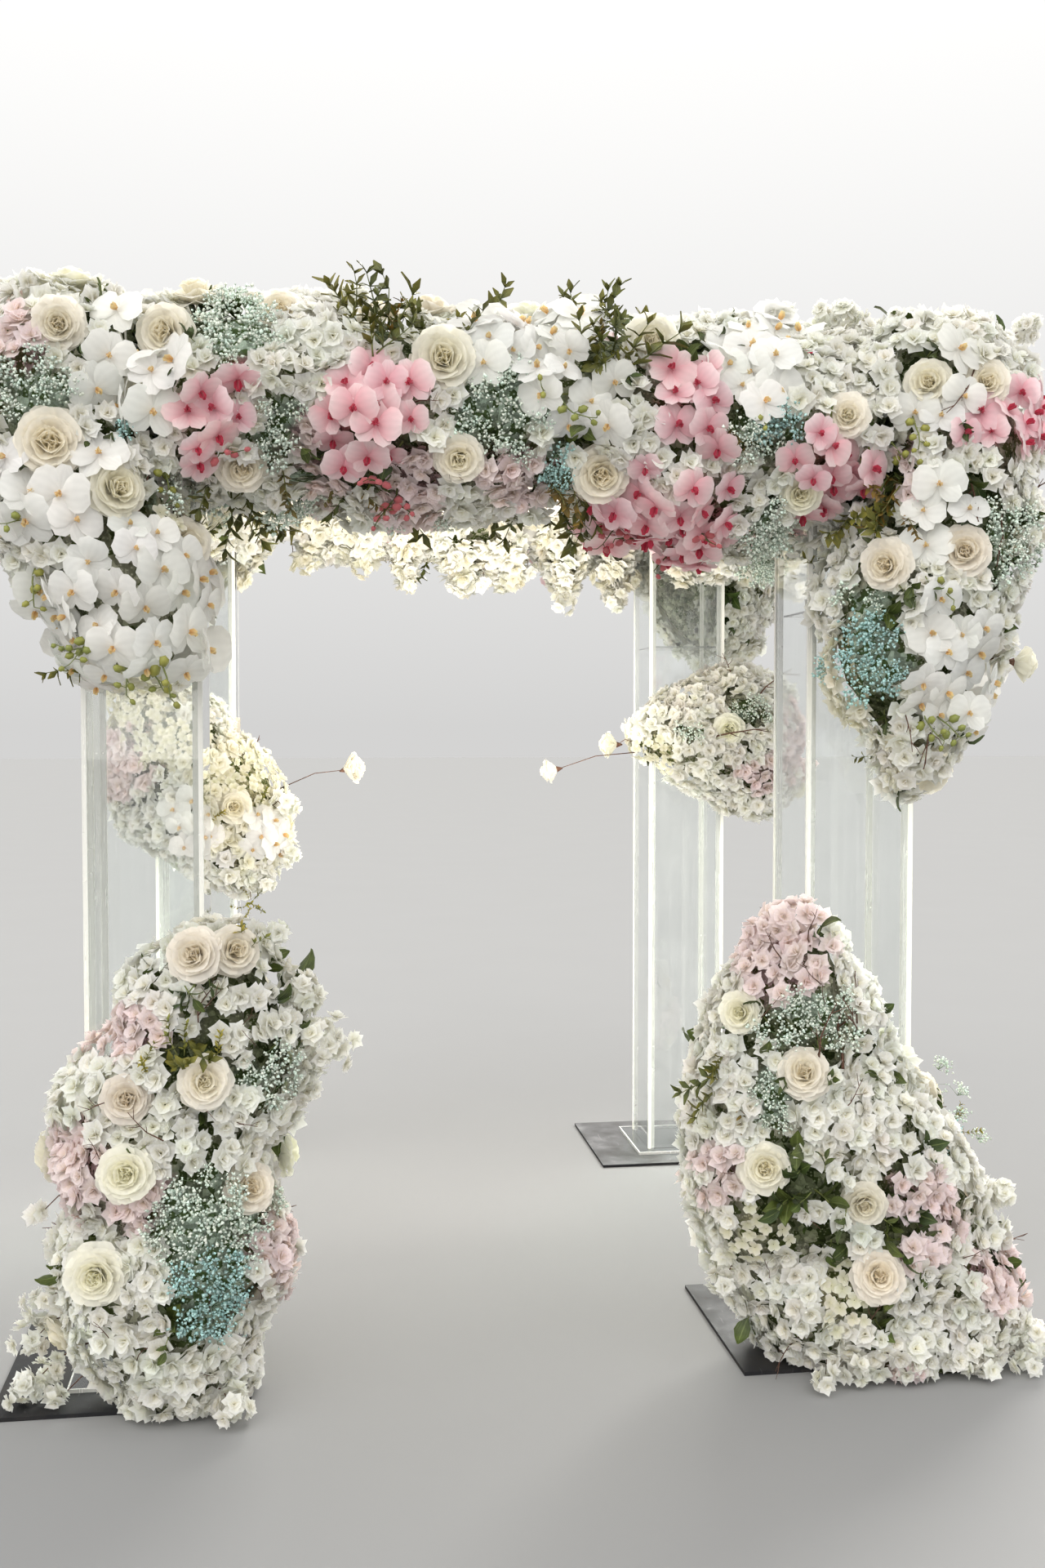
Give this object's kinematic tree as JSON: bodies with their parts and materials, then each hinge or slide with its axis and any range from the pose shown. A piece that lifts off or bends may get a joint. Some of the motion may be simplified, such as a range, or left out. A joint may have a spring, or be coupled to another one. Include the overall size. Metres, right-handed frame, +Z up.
{
  "type": "wedding canopy (chuppah) with clear columns and flower garlands",
  "caption": "Square wedding canopy: clear acrylic box columns on steel plates, a white beam ring, a cloth ceiling and massed fabric flowers.",
  "frame": {"origin": "on the ground, at the middle of the plan", "axes": "+X to the right of the front, +Y from the front towards the back, +Z up"},
  "size_m": [2.8, 2.8, 2.7938],
  "materials": {
    "clear_acrylic": "clear polished sheet, faint vertical scratches, bright sheet edges",
    "black_steel": "satin black powder coat, dusty",
    "white_paint": "white satin paint",
    "ceiling_cloth": "matte ivory woven cloth",
    "white_petal": "matte white fabric petals",
    "cream_petal": "matte cream fabric petals",
    "pink_petal": "matte pink fabric petals with deeper throats",
    "mint_sprig": "matte mint and aqua dyed sprigs",
    "green_leaf": "dark green fabric leaves, slight wax gloss",
    "brown_twig": "thin rough brown twigs"
  },
  "bodies": {
    "root": {"front_left_base_plate": "black_steel", "front_left_flange": "clear_acrylic", "front_left_column_front": "clear_acrylic", "front_left_column_back": "clear_acrylic", "front_left_column_left": "clear_acrylic", "front_left_column_right": "clear_acrylic", "front_left_cap_plate": "white_paint", "front_right_base_plate": "black_steel", "front_right_flange": "clear_acrylic", "front_right_column_front": "clear_acrylic", "front_right_column_back": "clear_acrylic", "front_right_column_left": "clear_acrylic", "front_right_column_right": "clear_acrylic", "front_right_cap_plate": "white_paint", "back_left_base_plate": "black_steel", "back_left_flange": "clear_acrylic", "back_left_column_front": "clear_acrylic", "back_left_column_back": "clear_acrylic", "back_left_column_left": "clear_acrylic", "back_left_column_right": "clear_acrylic", "back_left_cap_plate": "white_paint", "back_right_base_plate": "black_steel", "back_right_flange": "clear_acrylic", "back_right_column_front": "clear_acrylic", "back_right_column_back": "clear_acrylic", "back_right_column_left": "clear_acrylic", "back_right_column_right": "clear_acrylic", "back_right_cap_plate": "white_paint", "front_beam": "white_paint", "back_beam": "white_paint", "left_beam": "white_paint", "right_beam": "white_paint", "ceiling_cloth": "ceiling_cloth", "front_garland": "white_petal", "back_garland": "white_petal", "left_garland": "white_petal", "right_garland": "white_petal", "front_left_corner_cluster": "white_petal", "front_right_corner_cluster": "white_petal", "back_left_corner_cluster": "white_petal", "back_right_corner_cluster": "white_petal", "front_left_base_arrangement": "white_petal", "front_right_base_arrangement": "white_petal", "back_left_column_arrangement": "cream_petal", "back_right_column_arrangement": "cream_petal"}
  },
  "joints": []
}
